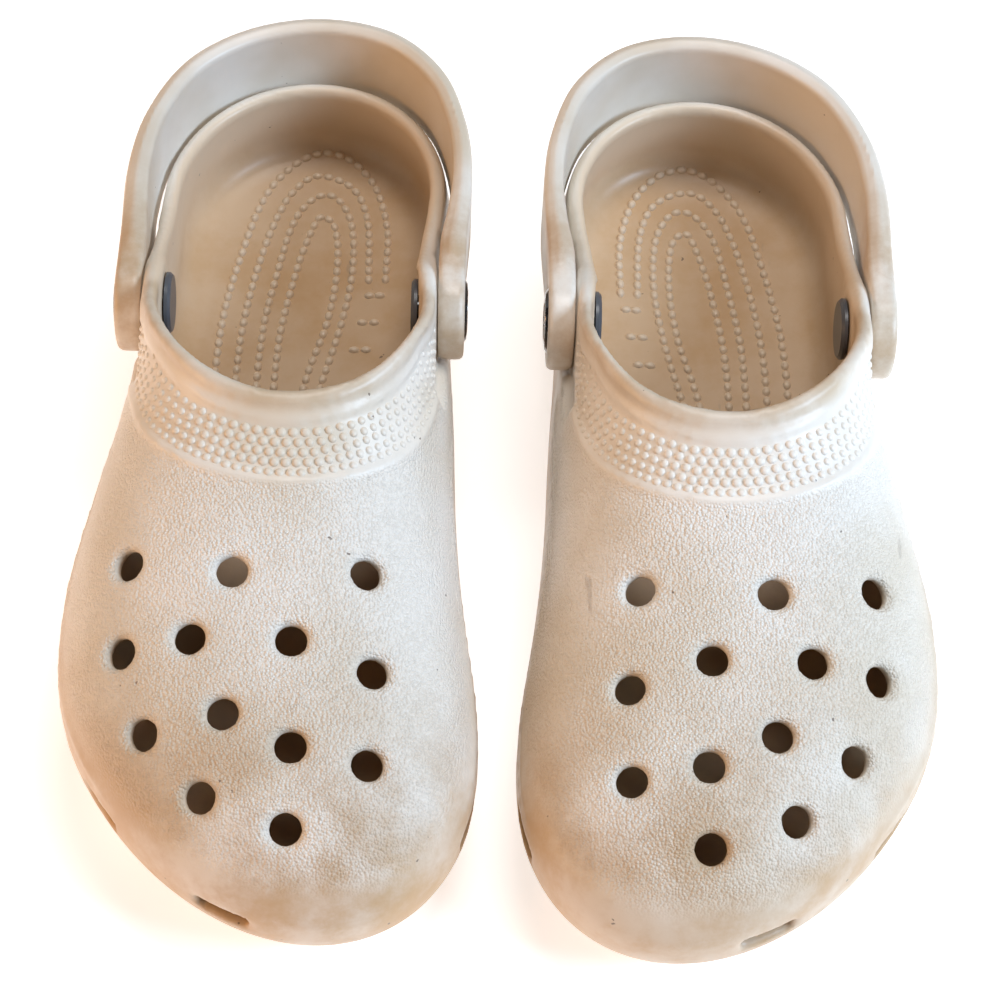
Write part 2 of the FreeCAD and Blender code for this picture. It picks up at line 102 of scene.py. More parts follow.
def along(table, y):
    """Smooth value of a station table at y (cubic Hermite with averaged slopes)."""
    ys, vs = np.array(table, float).T
    slope = np.empty_like(vs)
    slope[1:-1] = (vs[2:] - vs[:-2]) / (ys[2:] - ys[:-2])
    slope[0], slope[-1] = (vs[1] - vs[0]) / (ys[1] - ys[0]), (vs[-1] - vs[-2]) / (ys[-1] - ys[-2])
    y = np.clip(y, ys[0], ys[-1])
    k = np.clip(np.searchsorted(ys, y, side="right") - 1, 0, len(ys) - 2)
    step = ys[k + 1] - ys[k]
    u = (y - ys[k]) / step
    return ((2 * u**3 - 3 * u**2 + 1) * vs[k] + (u**3 - 2 * u**2 + u) * step * slope[k]
            + (3 * u**2 - 2 * u**3) * vs[k + 1] + (u**3 - u**2) * step * slope[k + 1])


def plan_half(y):
    """Half width of the widest line at y."""
    toe = np.clip((74 - END - y) / 74, 0, 1)
    heel = np.clip((y - END + 48) / 48, 0, 1)
    return along(HALF_WIDTH, y) * np.sqrt(1 - toe**2.3) * np.sqrt(1 - heel**2.2)


def crown_height(x, y):
    """Height of the outer form above (x, y)."""
    across = np.clip(np.abs(x - along(SPINE, y)) / np.maximum(plan_half(y), 0.1), 0, 1)
    return BUMPER + (along(RIDGE, y) - BUMPER) * (1 - across**CROWN) ** (1 / CROWN)


def outline(z, count=72):
    """Closed outline of the outer form at height z, as 2 * count points."""
    tuck = 8 * (max(BUMPER - z, 0) / BUMPER) ** 2
    climb = max(z - BUMPER - 4, 0) / 60
    ys = np.linspace(-END, 60, 4000)
    first = ys[np.argmax(along(RIDGE, ys) >= max(z, BUMPER))]
    station = (first + END) / 2 + (END - first) / 2 * np.cos(np.linspace(0, np.pi, count + 1))
    behind = np.maximum((station - 20) / (END - 20), 0)
    y = station * (END - 1.2 * tuck) / END + 0.4 * tuck - 14 * climb**1.5 * behind**1.5
    rise = np.clip((z - BUMPER) / (along(RIDGE, station) - BUMPER), 0, 1)
    inward = climb * np.clip((station - 10) / 40, 0, 1)
    half = plan_half(station) * (1 - rise**CROWN) ** (1 / CROWN) * (1 - tuck / 55)
    half = np.maximum(half - 2 * inward * half / 40, 0)
    middle = along(SPINE, station) - 3.0 * inward
    return np.vstack([np.c_[middle - half, y], np.c_[middle + half, y][-2:0:-1]])


def smooth_line(points, count):
    """Evenly spaced points on a smooth curve through the given ones."""
    points = np.array(points, float)
    run = np.r_[0, np.cumsum(np.linalg.norm(np.diff(points, axis=0), axis=1))]
    fine = np.linspace(0, run[-1], 4000)
    curve = np.c_[along(list(zip(run, points[:, 0])), fine), along(list(zip(run, points[:, 1])), fine)]
    run = np.r_[0, np.cumsum(np.linalg.norm(np.diff(curve, axis=0), axis=1))]
    even = np.linspace(0, run[-1], count)
    return np.c_[np.interp(even, run, curve[:, 0]), np.interp(even, run, curve[:, 1])]


# ---------------------------------------------------------------- distance fields on a regular grid
def smooth_min(a, b, k):
    h = np.clip(0.5 + 0.5 * (b - a) / k, 0, 1)
    return b * (1 - h) + a * h - k * h * (1 - h)


def smooth_max(a, b, k):
    return -smooth_min(-a, -b, k)


def step(x, start, end):
    """0 before start, 1 after end, smooth between."""
    t = np.clip((x - start) / (end - start), 0, 1)
    return t * t * (3 - 2 * t)


class Field:
    """A block of signed distances, in millimetres, with its three coordinate axes."""

    def __init__(self, low, high, voxel):
        self.voxel = voxel
        self.start = [int(math.floor(v / voxel)) for v in low]
        stop = [int(math.ceil(v / voxel)) for v in high]
        self.axes = [np.arange(a, b + 1, dtype=np.float32) * voxel for a, b in zip(self.start, stop)]
        self.x, self.y = self.axes[0][:, None, None], self.axes[1][None, :, None]
        self.z = self.axes[2][None, None, :]
        self.shape = tuple(len(axis) for axis in self.axes)
        self.values = None

    def transform(self):
        return vdb.createLinearTransform(voxelSize=self.voxel)

    def from_shell(self, points, quads, triangles, outside, inside):
        """Fill with distances to a closed shell, true up to the given numbers of voxels."""
        grid = vdb.FloatGrid.createLevelSetFromPolygons(
            points.astype(np.float32), triangles=triangles.astype(np.uint32), quads=quads.astype(np.uint32),
            transform=self.transform(), exBandWidth=float(outside), inBandWidth=float(inside))
        self.values = np.zeros(self.shape, np.float32)
        grid.copyToArray(self.values, ijk=self.start)

    def polygons(self, values):
        grid = vdb.FloatGrid(3.0)
        grid.transform = self.transform()
        grid.copyFromArray(np.ascontiguousarray(values, np.float32), ijk=self.start)
        points, quads = grid.convertToQuads(isovalue=0.0)
        return points, quads

    def window(self, low, high):
        """Index slices of the block between two corners."""
        spans = []
        for axis, a, b in zip(self.axes, low, high):
            spans.append(slice(max(int(np.searchsorted(axis, a)) - 1, 0), int(np.searchsorted(axis, b)) + 1))
        return tuple(spans)

    def local(self, window):
        return (self.axes[0][window[0]][:, None, None], self.axes[1][window[1]][None, :, None],
                self.axes[2][window[2]][None, None, :])

    def sample(self, values, points):
        """Trilinear value at points."""
        at = [np.clip((points[:, k] - self.axes[k][0]) / self.voxel, 0, self.shape[k] - 1.001) for k in range(3)]
        base = [a.astype(int) for a in at]
        part = [a - b for a, b in zip(at, base)]
        total = 0
        for i in (0, 1):
            for j in (0, 1):
                for k in (0, 1):
                    weight = (np.abs(1 - i - part[0]) * np.abs(1 - j - part[1]) * np.abs(1 - k - part[2]))
                    total = total + weight * values[base[0] + i, base[1] + j, base[2] + k]
        return total

    def slope(self, values, points):
        """Unit gradient at points."""
        out = np.zeros_like(points)
        for k in range(3):
            nudge = np.zeros(3)
            nudge[k] = self.voxel
            out[:, k] = self.sample(values, points + nudge) - self.sample(values, points - nudge)
        return out / np.maximum(np.linalg.norm(out, axis=1, keepdims=True), 1e-6)

    def settle(self, values, points, rounds=8):
        """Move points onto the zero surface."""
        for _ in range(rounds):
            points = points - self.slope(values, points) * np.clip(self.sample(values, points), -2, 2)[:, None]
        return points


def throat_edge():
    """Line of the opening's lip: round the instep and back along the side walls."""
    cx, cy, rx, ry = THROAT
    turn = np.linspace(math.radians(-3), math.radians(183), 150)
    x, y = cx + rx * np.cos(turn), cy - ry * np.sin(turn)
    z = np.minimum(crown_height(x, y), along(RIM, y))
    return np.c_[x, y, z]


def near_line(points, line):
    """Distance from each point to the nearest point of a line."""
    best = np.full(len(points), np.inf)
    for k in range(0, len(line), 30):
        gap = points[:, None, :] - line[None, k:k + 30, :]
        best = np.minimum(best, np.sqrt((gap**2).sum(2).min(1)))
    return best


def outer_form(field):
    """Distances to the plain outer form, closed at the bottom and well above the rim."""
    heights = np.r_[np.arange(0, BUMPER, 1.0), np.arange(BUMPER, 104.1, 0.75)]
    loops = []
    for z in heights:
        line = outline(z)
        loops.append(np.c_[line, np.full(len(line), z)])
    count = len(loops[0])
    points = np.vstack(loops + [[[0, 0, heights[0]]], [[0, 60, heights[-1]]]])
    k = np.arange(count)
    after = (k + 1) % count
    quads = np.vstack([np.c_[k, after, after + count, k + count] + count * n for n in range(len(loops) - 1)])
    bottom, top = len(points) - 2, len(points) - 1
    last = count * (len(loops) - 1)
    triangles = np.vstack([np.c_[after, k, np.full(count, bottom)],
                           np.c_[k + last, after + last, np.full(count, top)]])
    field.from_shell(points, quads, triangles, 12, 12)


def cut(body, tool, blend):
    """Take a tool out of the body, with its edge rounded."""
    return smooth_max(body, -tool, blend)


def rod(field, low, high, radius):
    """Distances to a rod about the rivet axis on either side, between two |x|."""
    reach = np.sqrt((field.y - PIVOT[0]) ** 2 + (field.z - PIVOT[1]) ** 2)
    side = np.abs(field.x)
    return np.maximum(np.maximum(reach - radius, side - high), low - side)


def collar_relief(field):
    """How far the collar stands proud: raised lip, two steps down to the dotted band, and the ridge round it."""
    lift = np.zeros(field.shape, np.float32)
    band = field.window((-60, -45, 48), (60, 44, 100))
    gx, gy, gz = np.broadcast_arrays(*field.local(band))
    close = np.abs(field.values[band]) < 4.5
    cells = np.c_[gx[close], gy[close], gz[close]]
    u = near_line(cells, throat_edge())       # distance from the opening's edge
    fade = 1 - step(cells[:, 1], 22, 38)      # the collar dies out towards the strap
    relief = (1.9 - 1.3 * step(u, 4.2, 5.4) - 1.2 * step(u, 8.2, 9.4)
              + 0.9 * np.exp(-((u - 23.6) / 1.1) ** 2) + 0.6 * step(u, 22.8, 24.6))
    block = lift[band]
    block[close] = relief * fade
    return lift


def flank_relief(field):
    """Ridge along the side walls from below the strap to the toe, with small scallops hanging from it."""
    x, y, z = field.x, field.y, field.z
    out = np.abs(x - along(SPINE, y)) / np.maximum(plan_half(y), 1.0)
    flank = step(out, 0.80, 0.90) * step(-y, -26, -18) * (1 - step(-y, 92, 108))
    line = along(FLANK_LINE, y)
    pitch = 5.2
    scallop = np.exp(-((z - line + 4.0) / 2.0) ** 2) * (0.5 + 0.5 * np.cos(2 * np.pi * y / pitch))
    return (0.8 * np.exp(-((z - line) / 1.2) ** 2) + 0.45 * scallop) * flank


def with_sole(field, body):
    """Cut the body to its underside, with an arch relief and cross grooves."""
    x, y, z = field.x, field.y, field.z
    arch = np.clip(2.6 * (1 - ((y - 14) / 32) ** 2), 0, None)
    body = smooth_max(body, along(UNDERSIDE, y) + arch - z, 3.0)
    half_wide, deep, half_long = 1.1, 1.6, 31
    for at in GROOVES:
        groove = np.maximum(np.maximum(np.abs(y - at - half_wide) - half_wide, z - deep),
                            np.abs(x - along(SPINE, y)) - half_long)
        body = cut(body, groove, 0.8)
    return body


def foot_space(field):
    """Distances to the hollow: a dished footbed that curls up into the walls."""
    x, y, z = field.x, field.y, field.z
    cup = ((x - along(SPINE, y)) / 40) ** 2 * (2.0 + 2.5 * step(y, 40, 110))
    bed = along(FOOTBED, y) + cup - 0.6 - z
    return smooth_max(field.values + SKIN, bed, 8.0)


def with_opening(field, body):
    """Cut the body to its rim and open it over the instep."""
    x, y, z = field.x, field.y, field.z
    gap = 4.0
    slope = (along(RIM, y + gap) - along(RIM, y - gap)) / (2 * gap)
    body = smooth_max(body, (z - along(RIM, y)) / np.sqrt(1 + slope**2), 3.2)
    cx, cy, rx, ry = THROAT
    oval = (np.sqrt(((x - cx) / rx) ** 2 + ((y - cy) / ry) ** 2) - 1) * rx
    lowest = 50
    return cut(body, np.maximum(oval, lowest - z), 3.4)


def with_seats(field, body):
    """Strap seats on both sides, the bosses behind them and the rivet bores."""
    y, z = field.y, field.z
    reach, side = np.sqrt((y - PIVOT[0]) ** 2 + (z - PIVOT[1]) ** 2), np.abs(field.x)
    floor = np.minimum(np.maximum(SEAT_FRONT - y, SEAT_LEDGE - z), SEAT_STEP - z)
    swept = np.minimum(reach - SEAT_END, np.maximum(reach - SEAT_SWEEP, floor))
    body = cut(body, np.maximum(SEAT - side, swept), 1.6)
    body = smooth_min(body, rod(field, BOSS, SEAT, BOSS_RADIUS), 1.5)
    body = cut(body, rod(field, BOSS - 4, BOSS, BOSS_RADIUS), 0.8)
    return cut(body, rod(field, 20, math.inf, BORE_RADIUS), 0.4)


def bore_vents(field, body):
    """Vents, square to the surface and softly flared."""
    above, below = 6, 11
    for vx, vy in VENTS:
        top = crown_height(vx, vy)
        inward = np.array([crown_height(vx + 1, vy) - crown_height(vx - 1, vy),
                           crown_height(vx, vy + 1) - crown_height(vx, vy - 1), -2.0])
        inward /= np.linalg.norm(inward)
        w = field.window((vx - 16, vy - 16, top - 18), (vx + 16, vy + 16, top + 14))
        lx, ly, lz = field.local(w)
        run = (lx - vx) * inward[0] + (ly - vy) * inward[1] + (lz - top) * inward[2]
        away = np.sqrt(np.maximum((lx - vx) ** 2 + (ly - vy) ** 2 + (lz - top) ** 2 - run**2, 0))
        body[w] = cut(body[w], np.maximum(away - VENT_RADIUS, np.maximum(-above - run, run - below)), 2.4)


def cut_ports(field, body):
    """Drain ports through the wall near the toe, with rounded ends."""
    for py, hand in PORTS:
        wall = np.array([along(SPINE, py) + hand * plan_half(py), py, PORT_HEIGHT])
        ahead = np.array([along(SPINE, py + 1) + hand * plan_half(py + 1), py + 1])
        back = np.array([along(SPINE, py - 1) + hand * plan_half(py - 1), py - 1])
        run = (ahead - back) / np.linalg.norm(ahead - back)
        inward = np.array([-run[1], run[0]]) * hand
        w = field.window(wall - 22, wall + 22)
        lx, ly, lz = field.local(w)
        a = (lx - wall[0]) * run[0] + (ly - wall[1]) * run[1]
        b = (lx - wall[0]) * inward[0] + (ly - wall[1]) * inward[1]
        slot = np.hypot(np.maximum(np.abs(a) - PORT_HALF[0], 0),
                        np.maximum(np.abs(lz - wall[2]) - PORT_HALF[1], 0)) - PORT_CORNER
        body[w] = cut(body[w], np.maximum(slot, np.abs(b - 3) - 9), 1.2)


def clog_field(field):
    """Distances to the finished moulding of the right clog; the field keeps those to the plain outer form."""
    outer_form(field)
    form, y, z = field.values, field.y, field.z
    # a shallow parting line runs low round the clog
    seam = 0.5 * np.exp(-((z - 13 - 0.02 * y) / 1.3) ** 2)
    body = (form - collar_relief(field) - flank_relief(field) * step(-form, -4, -1.5)
            + seam * step(-form, -3, -1))
    body = with_sole(field, body)
    body = cut(body, foot_space(field), 1.2)
    body = smooth_min(body, rod(field, BACKING[0], SEAT, BACKING[1]), 1.5)
    body = with_opening(field, body)
    body = with_seats(field, body)
    bore_vents(field, body)
    cut_ports(field, body)
    return body


# ---------------------------------------------------------------- meshes
def piece(name, points, faces):
    """Smooth-shaded mesh object from points in millimetres."""
    mesh = bpy.data.meshes.new(name)
    mesh.from_pydata([tuple(p) for p in points * MM], [], [tuple(int(i) for i in f) for f in faces])
    mesh.validate()
    mesh.update()
    mesh.polygons.foreach_set("use_smooth", [True] * len(mesh.polygons))
    obj = bpy.data.objects.new(name, mesh)
    bpy.context.scene.collection.objects.link(obj)
    return obj


def mask(obj, name, values):
    """Store one number per vertex for the materials."""
    layer = obj.data.attributes.new(name, "FLOAT", "POINT")
    layer.data.foreach_set("value", np.asarray(values, np.float32))


def pair(obj, part):
    """Move a right piece from its clog's millimetres to its place in the pair, and mirror a left one from it."""
    other = obj.copy()
    other.data = obj.data.copy()
    other.name = obj.name.replace("right", "left")
    bpy.context.scene.collection.objects.link(other)
    obj.data.transform(Matrix.Translation((-APART * MM, (SHIFT + STAGGER / 2) * MM, 0)))
    mirror = Matrix.Scale(-1, 4, (1, 0, 0))
    other.data.transform(Matrix.Translation((APART * MM, (SHIFT - STAGGER / 2) * MM, 0)) @ mirror)
    other.data.flip_normals()
    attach(obj, f"right_{part}")
    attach(other, f"left_{part}")
    return obj, other


def domes(name, points, normals, radii, height, sides=10, stretch=None):
    """Low domes standing on a surface; stretch gives each one's long direction and how much longer it is."""
    rings = [(1.08, -0.25), (0.95, 0.25), (0.7, 0.75), (0.38, 0.95)]
    verts, faces = [], []
    for k, (p, n, r) in enumerate(zip(points, normals, radii)):
        n = Vector(n)
        side = n.orthogonal().normalized() if stretch is None else Vector(stretch[k][:3]).normalized()
        side = (side - n * side.dot(n)).normalized()
        other = n.cross(side)
        long = 1.0 if stretch is None else stretch[k][3]
        first = len(verts)
        for wide, tall in rings:
            for j in range(sides):
                turn = 2 * math.pi * j / sides
                verts.append(Vector(p) + (side * math.cos(turn) * long + other * math.sin(turn)) * r * wide
                             + n * height * r * tall)
        verts.append(Vector(p) + n * height * r)
        for i in range(len(rings) - 1):
            for j in range(sides):
                a, b = first + i * sides + j, first + i * sides + (j + 1) % sides
                faces.append((a, b, b + sides, a + sides))
        last = first + (len(rings) - 1) * sides
        for j in range(sides):
            faces.append((last + j, last + (j + 1) % sides, len(verts) - 1))
    return piece(name, np.array([tuple(v) for v in verts]), faces)


def turned(profile, sides=72):
    """Turned form about the X axis, from (x, radius) pairs."""
    verts, faces = [], []
    for x, r in profile:
        for j in range(sides):
            turn = 2 * math.pi * j / sides
            verts.append((x, r * math.cos(turn), r * math.sin(turn)))
    for i in range(len(profile) - 1):
        for j in range(sides):
            a, b = i * sides + j, i * sides + (j + 1) % sides
            faces.append((a, a + sides, b + sides, b))
    return np.array(verts), faces


def grain_amount(points, form_at, lip):
    """How much leather grain there is: full on top of the upper, none on collar, toe cap and lower walls."""
    _, y, z = points.T
    top = step(z - BUMPER, 9, 19) * step(lip, 24, 26) * (1 - step(-form_at, 0.8, 2.0))
    return top * (1 - step(y, 8, 26))


# ---------------------------------------------------------------- the moulding
body_field = Field((-68, -142, -5), (66, 142, 101), VOXEL)
body = clog_field(body_field)
points, quads = body_field.polygons(body)
right_body = piece("right_clog_moulding", points, quads)
# masks for the foam: foot space, height, painted shade under the vamp, lip, grain and toe
form_at = body_field.sample(body_field.values, points)
lip = near_line(points, throat_edge())
on_seat = (np.abs(points[:, 0]) > SEAT - 1) & (np.hypot(points[:, 1] - PIVOT[0], points[:, 2] - PIVOT[1]) < 31)
within = step(-form_at, 1.5, 3.4) * ~on_seat
mask(right_body, "inner", within)
mask(right_body, "height", points[:, 2] / 100)
# deep: where painted shade goes, on inner surfaces more than 3.4 mm in, under the vamp
mask(right_body, "deep", within * step(-form_at, 3.4, 4.4) * step(-points[:, 1], -16, 22))
mask(right_body, "lip", 1 - step(lip, 3.5, 8.5))
mask(right_body, "grain", grain_amount(points, form_at, lip))
mask(right_body, "toe", step(-points[:, 1], 60, 130))
print("moulding", len(points), "points", len(quads), "faces")


def collar_dots():
    """Rows of dots between the collar's steps and its ridge, walked out over the surface from its edge."""
    cx, cy, rx, ry = THROAT
    stride = 0.4
    dots, radii = [], []
    for row, u in enumerate((11.0, 13.6, 16.2, 18.8, 21.3)):
        count = 44 + 4 * row
        for k in range(count):
            turn = math.radians(2 + 176 * (k + 0.5 * (row % 2)) / count)
            nx, ny = math.cos(turn) / rx, -math.sin(turn) / ry
            size = math.hypot(nx, ny)
            x, y = cx + rx * math.cos(turn), cy - ry * math.sin(turn)
            run, z = 0.0, float(crown_height(x, y))
            while run < u:
                x, y = x + stride * nx / size, y + stride * ny / size
                after = float(crown_height(x, y))
                run += math.hypot(stride, after - z)
                z = after
            dots.append((x, y, z))
            radii.append(1.3 - 0.55 * abs(math.cos(turn)) ** 1.5)
    dots = body_field.settle(body, np.array(dots))
    normals = body_field.slope(body, dots)
    keep = (np.abs(near_line(dots, throat_edge()) - 16) < 6.4) & (dots[:, 1] < 24)
    return domes("right_clog_collar_dots", dots[keep], normals[keep], np.array(radii)[keep], 0.55)


def footbed_nubs():
    """Nubs of the footbed: four nested loops and three short rows."""
    pitch, radius, long = 3.3, 1.2, 1.35
    nubs, heads = [], []
    for loop in LOOPS:
        even = smooth_line(loop, 400)
        length = np.linalg.norm(np.diff(even, axis=0), axis=1).sum()
        even = smooth_line(loop, int(length / pitch))
        nubs += [(x, y) for x, y in even]
        heads += [tuple(d) for d in np.gradient(even, axis=0)]
    for x, y, length in DASHES:
        for k in range(2):
            nubs.append((x + (k + 0.5) * length / 2, y))
            heads.append((1.0, 0.0))
    nubs = np.array(nubs)
    nubs = body_field.settle(body, np.c_[nubs, along(FOOTBED, nubs[:, 1]) + 1.0])
    heads = [(dx, dy, 0, long) for dx, dy in heads]
    return domes("right_clog_footbed_nubs", nubs, body_field.slope(body, nubs), np.full(len(nubs), radius), 0.8,
                 stretch=heads)


right_dots = collar_dots()
right_nubs = footbed_nubs()

# ---------------------------------------------------------------- the heel strap
STRAP_OUTER = [(-47.6, 20), (-47.6, 52), (-47.8, 78), (-44.1, 99), (-33.9, 119), (-16.5, 132), (4.9, 136.6),
               (25.5, 131.5), (39.8, 117), (46.8, 97), (48.8, 78), (47.6, 52), (47.6, 20)]
STRAP_INNER = [(-40.3, 20), (-40.3, 52), (-41.2, 66), (-41.4, 80), (-38.8, 97), (-30.1, 114.5),
               (-14.5, 126.6), (4.9, 131), (22.5, 126.6), (35.2, 113.8), (41.4, 97), (43.2, 80), (42.3, 66),
               (40.3, 52), (40.3, 20)]


def strap_field(field):
    """Distances to the right heel strap."""
    n = 240
    outer, inner = smooth_line(STRAP_OUTER, n), smooth_line(STRAP_INNER, n)
    low, high = 20.0, 110.0
    points = np.vstack([np.c_[line, np.full(n, z)] for z in (low, high) for line in (outer, inner)])
    k = np.arange(n - 1)
    o0, i0, o1, i1 = k, k + n, k + 2 * n, k + 3 * n
    quads = np.vstack([np.c_[o0, o1, o1 + 1, o0 + 1], np.c_[i0, i0 + 1, i1 + 1, i1],
                       np.c_[o0, o0 + 1, i0 + 1, i0], np.c_[o1, i1, i1 + 1, o1 + 1],
                       [[0, n, 3 * n, 2 * n]], [[n - 1, 3 * n - 1, 4 * n - 1, 2 * n - 1]]])
    field.from_shell(points, quads, np.zeros((0, 3)), 10, 10)
    ring = field.values
    y, z = field.y, field.z
    dy, dz = y - PIVOT[0], z - PIVOT[1]
    ends = np.hypot(dy, dz) - STRAP_END
    length = STRAP_BACK + 5 - PIVOT[0]
    top = (dz - STRAP_END) - (STRAP_TOP - PIVOT[1] - STRAP_END) * dy / length
    foot = -(dz + STRAP_END) + (STRAP_FOOT - PIVOT[1] + STRAP_END) * dy / length
    bead = 0.7 * np.exp(-((ring + 3.1) / 1.0) ** 2)
    sides = np.where(dy < 0, ends, np.maximum(top - bead * step(dy, 4, 12), foot))
    strap = smooth_max(ring, sides, 2.0)
    reach, side = np.hypot(dy, dz), np.abs(field.x)
    recess = SEAT + STRAP_PLAY + STRAP_THICK - BUTTON_DEPTH
    strap = cut(strap, np.maximum(reach - BUTTON_RADIUS, recess - side), 0.5)
    return cut(strap, reach - 4.1, 0.3)


band_field = Field((-54, 18, 44), (54, 142, 86), STRAP_VOXEL)
band = strap_field(band_field)
points, quads = band_field.polygons(band)
right_strap = piece("right_strap_band", points, quads)
mask(right_strap, "inner", np.zeros(len(points)))
mask(right_strap, "height", points[:, 2] / 100)
for name in ("deep", "grain"):
    mask(right_strap, name, np.zeros(len(points)))
mask(right_strap, "toe", step(-points[:, 1], -90, -45))
mask(right_strap, "lip", step(np.abs(points[:, 2] - 66), 8, 14) * 0.4)
print("strap", len(points), "points", len(quads), "faces")


# ---------------------------------------------------------------- materials
CREAM, OAT, SKIN_TAN = (0.80, 0.745, 0.675), (0.68, 0.595, 0.485), (0.70, 0.55, 0.40)
# the third colour on the next line is partly dust, partly painted shade, for the lower walls
LIP_TAN, TOE_TAN, DUST_AND_SHADE = (0.50, 0.36, 0.22), (0.48, 0.32, 0.18), (0.52, 0.31, 0.14)
# the first colour on the next line is painted shade, for the deep inside under the vamp
SHADE_UNDER_VAMP, SCUFF, SPECK = (0.10, 0.065, 0.045), (0.30, 0.24, 0.19), (0.10, 0.06, 0.04)


def material(name, color, rough, spec=0.5):
    mat = bpy.data.materials.new(name)
    mat.use_nodes = True
    shader = mat.node_tree.nodes["Principled BSDF"]
    shader.inputs["Base Color"].default_value = (*color, 1)
    shader.inputs["Roughness"].default_value = rough
    shader.inputs["Specular IOR Level"].default_value = spec
    return mat, mat.node_tree.nodes, mat.node_tree.links, shader


def noise(nodes, links, coord, scale, detail=3.0, rough=0.55):
    tex = nodes.new("ShaderNodeTexNoise")
    tex.inputs["Scale"].default_value = scale
    tex.inputs["Detail"].default_value = detail
    tex.inputs["Roughness"].default_value = rough
    links.new(coord, tex.inputs["Vector"])
    return tex.outputs["Fac"]


def ramp(nodes, links, value, low, high):
    """0 below low, 1 above high."""
    node = nodes.new("ShaderNodeMapRange")
    node.interpolation_type = "SMOOTHSTEP"
    node.inputs["From Min"].default_value = low
    node.inputs["From Max"].default_value = high
    links.new(value, node.inputs["Value"])
    return node.outputs["Result"]


def math_node(nodes, links, kind, a, b):
    node = nodes.new("ShaderNodeMath")
    node.operation = kind
    for socket, value in zip(node.inputs, (a, b)):
        if isinstance(value, (int, float)):
            socket.default_value = value
        else:
            links.new(value, socket)
    return node.outputs[0]


def mix_color(nodes, links, fac, a, b):
    node = nodes.new("ShaderNodeMix")
    node.data_type = "RGBA"
    for socket, value in ((node.inputs["Factor"], fac), (node.inputs["A"], a), (node.inputs["B"], b)):
        if isinstance(value, tuple):
            socket.default_value = (*value, 1)
        elif isinstance(value, (int, float)):
            socket.default_value = value
        else:
            links.new(value, socket)
    return node.outputs["Result"]


def attribute(nodes, name):
    node = nodes.new("ShaderNodeAttribute")
    node.attribute_name = name
    return node.outputs["Fac"]


def bumped(nodes, links, shader, height, distance, strength=1.0, under=None):
    node = nodes.new("ShaderNodeBump")
    node.inputs["Strength"].default_value = strength
    node.inputs["Distance"].default_value = distance
    links.new(height, node.inputs["Height"])
    if under is not None:
        links.new(under, node.inputs["Normal"])
    links.new(node.outputs["Normal"], shader.inputs["Normal"])
    return node.outputs["Normal"]


def foam(name, grainy):
    """Moulded foam: off-white, satin, grained on the upper, stained tan where it is handled and scuffed, with
    painted shade inside under the vamp and dust plus painted shade on the lower walls.
    """
    mat, nodes, links, shader = material(name, (0.80, 0.74, 0.63), 0.42, 0.45)
    coord = nodes.new("ShaderNodeTexCoord").outputs["Object"]
    masks = {key: attribute(nodes, key) for key in ("inner", "height", "toe", "deep", "lip", "grain")}
    cloud = noise(nodes, links, coord, 16, 4)

    def times(a, b):
        return math_node(nodes, links, "MULTIPLY", a, b)

    tone = mix_color(nodes, links, ramp(nodes, links, cloud, 0.38, 0.66), CREAM, OAT)
    tone = mix_color(nodes, links, masks["inner"], tone, SKIN_TAN)
    stain = ramp(nodes, links, noise(nodes, links, coord, 34, 6, 0.65), 0.36, 0.68)
    worn = times(masks["lip"], math_node(nodes, links, "ADD", times(stain, 0.5), 0.3))
    tone = mix_color(nodes, links, worn, tone, LIP_TAN)
    # painted shade: the deep inside under the vamp turns dark brown
    tone = mix_color(nodes, links, times(masks["deep"], 0.85), tone, SHADE_UNDER_VAMP)
    tone = mix_color(nodes, links, times(stain, times(masks["toe"], 0.85)), tone, TOE_TAN)
    if grainy:
        # dust and painted shade: the walls go tan towards the bottom while the top stays light
        low = ramp(nodes, links, masks["height"], 0.56, 0.22)
        dust_and_shade = times(math_node(nodes, links, "ADD", times(stain, 0.4), 0.55), low)
        tone = mix_color(nodes, links, dust_and_shade, tone, DUST_AND_SHADE)
        scuff = nodes.new("ShaderNodeMapping")
        scuff.inputs["Scale"].default_value = (160, 38, 90)
        scuff.inputs["Rotation"].default_value = (0.2, 0.3, 0.5)
        links.new(coord, scuff.inputs["Vector"])
        marks = ramp(nodes, links, noise(nodes, links, scuff.outputs["Vector"], 1.0, 4), 0.69, 0.75)
        tone = mix_color(nodes, links, times(marks, 0.35), tone, SCUFF)
    speck = ramp(nodes, links, noise(nodes, links, coord, 330, 2), 0.755, 0.78)
    tone = mix_color(nodes, links, times(speck, 0.75), tone, SPECK)
    links.new(tone, shader.inputs["Base Color"])
    sheen = math_node(nodes, links, "ADD", times(noise(nodes, links, coord, 90), 0.25), 0.26)
    links.new(sheen, shader.inputs["Roughness"])
    fine = bumped(nodes, links, shader, noise(nodes, links, coord, 900, 2), 0.00005, 0.5)
    if grainy:
        cells = nodes.new("ShaderNodeTexVoronoi")
        cells.inputs["Scale"].default_value = 1350
        cells.inputs["Randomness"].default_value = 0.9
        links.new(coord, cells.inputs["Vector"])
        leather = times(cells.outputs["Distance"], times(masks["grain"], -1.0))
        bumped(nodes, links, shader, leather, 0.00055, 0.85, fine)
    return mat


def plastic(name, color, rough, spec, bump, gloss):
    """Hard glossy piece: a faint bump from fine noise, and roughness that varies with a coarser one."""
    mat, nodes, links, shader = material(name, color, rough, spec)
    coord = nodes.new("ShaderNodeTexCoord").outputs["Object"]
    bumped(nodes, links, shader, noise(nodes, links, coord, bump[0]), bump[1], bump[2])
    links.new(ramp(nodes, links, noise(nodes, links, coord, gloss[0], 4), *gloss[1:]), shader.inputs["Roughness"])
    return mat, shader


